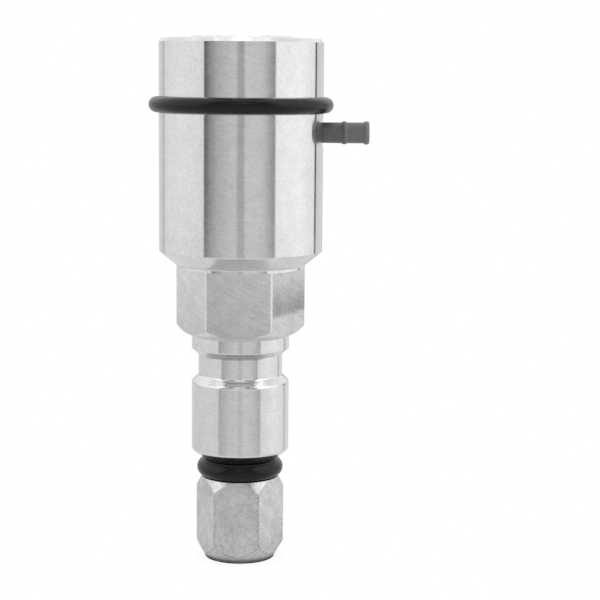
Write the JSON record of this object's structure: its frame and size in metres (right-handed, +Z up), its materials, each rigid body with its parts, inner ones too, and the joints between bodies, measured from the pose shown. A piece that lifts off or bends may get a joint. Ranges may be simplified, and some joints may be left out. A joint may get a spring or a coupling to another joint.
{
  "type": "waterjet cutting head",
  "caption": "Turned steel waterjet cutting head with a threaded supply port on top, a side hose barb for abrasive, a wrench hexagon and a collet nut that grips the mixing tube.",
  "frame": {"origin": "on the jet's axis at the bottom face of the collet nut, where the mixing tube comes out", "axes": "+Z up along the jet's axis towards the supply port, +X along the abrasive inlet, wrench flats facing -Y and +Y"},
  "size_m": [0.0564, 0.0472, 0.1355],
  "materials": {
    "turned_steel": "turned and milled, fine circular tool marks",
    "cartridge_steel": "turned",
    "tumbled_steel": "tumbled, softly stained",
    "collet_steel": "ground",
    "ring_rubber": "matt black, slight sheen",
    "seal_rubber": "matt",
    "barb_grey": "dull dark grey",
    "carbide": "sintered, ground",
    "jewel": "polished",
    "retainer_brass": "turned"
  },
  "bodies": {
    "head": {"nozzle_body": "turned_steel", "inlet_body": "cartridge_steel", "inlet_seal": "seal_rubber", "orifice_holder": "cartridge_steel", "holder_o_ring": "seal_rubber", "orifice_jewel": "jewel", "jewel_retainer": "retainer_brass", "mixing_chamber": "carbide", "abrasive_inlet": "barb_grey", "abrasive_inlet_seal": "seal_rubber", "body_o_ring": "ring_rubber", "nut_o_ring": "ring_rubber", "tube_seal": "seal_rubber"},
    "collet": {"collet": "collet_steel"},
    "nut": {"collet_nut": "tumbled_steel"}
  },
  "joints": [
    {"name": "collet_slide", "type": "slide", "parent": "head", "child": "collet", "axis": [0, 0, -1], "range_m": [0, 0.00901]},
    {"name": "nut_turn", "type": "hinge", "parent": "collet", "child": "nut", "pos_m": [0, 0, 0], "axis": [0, 0, -1], "range_deg": [0, 2160]}
  ],
  "couplings": [
    {"joint": "collet_slide", "follows": "nut_turn", "m_per_rad": 0.00023873}
  ]
}
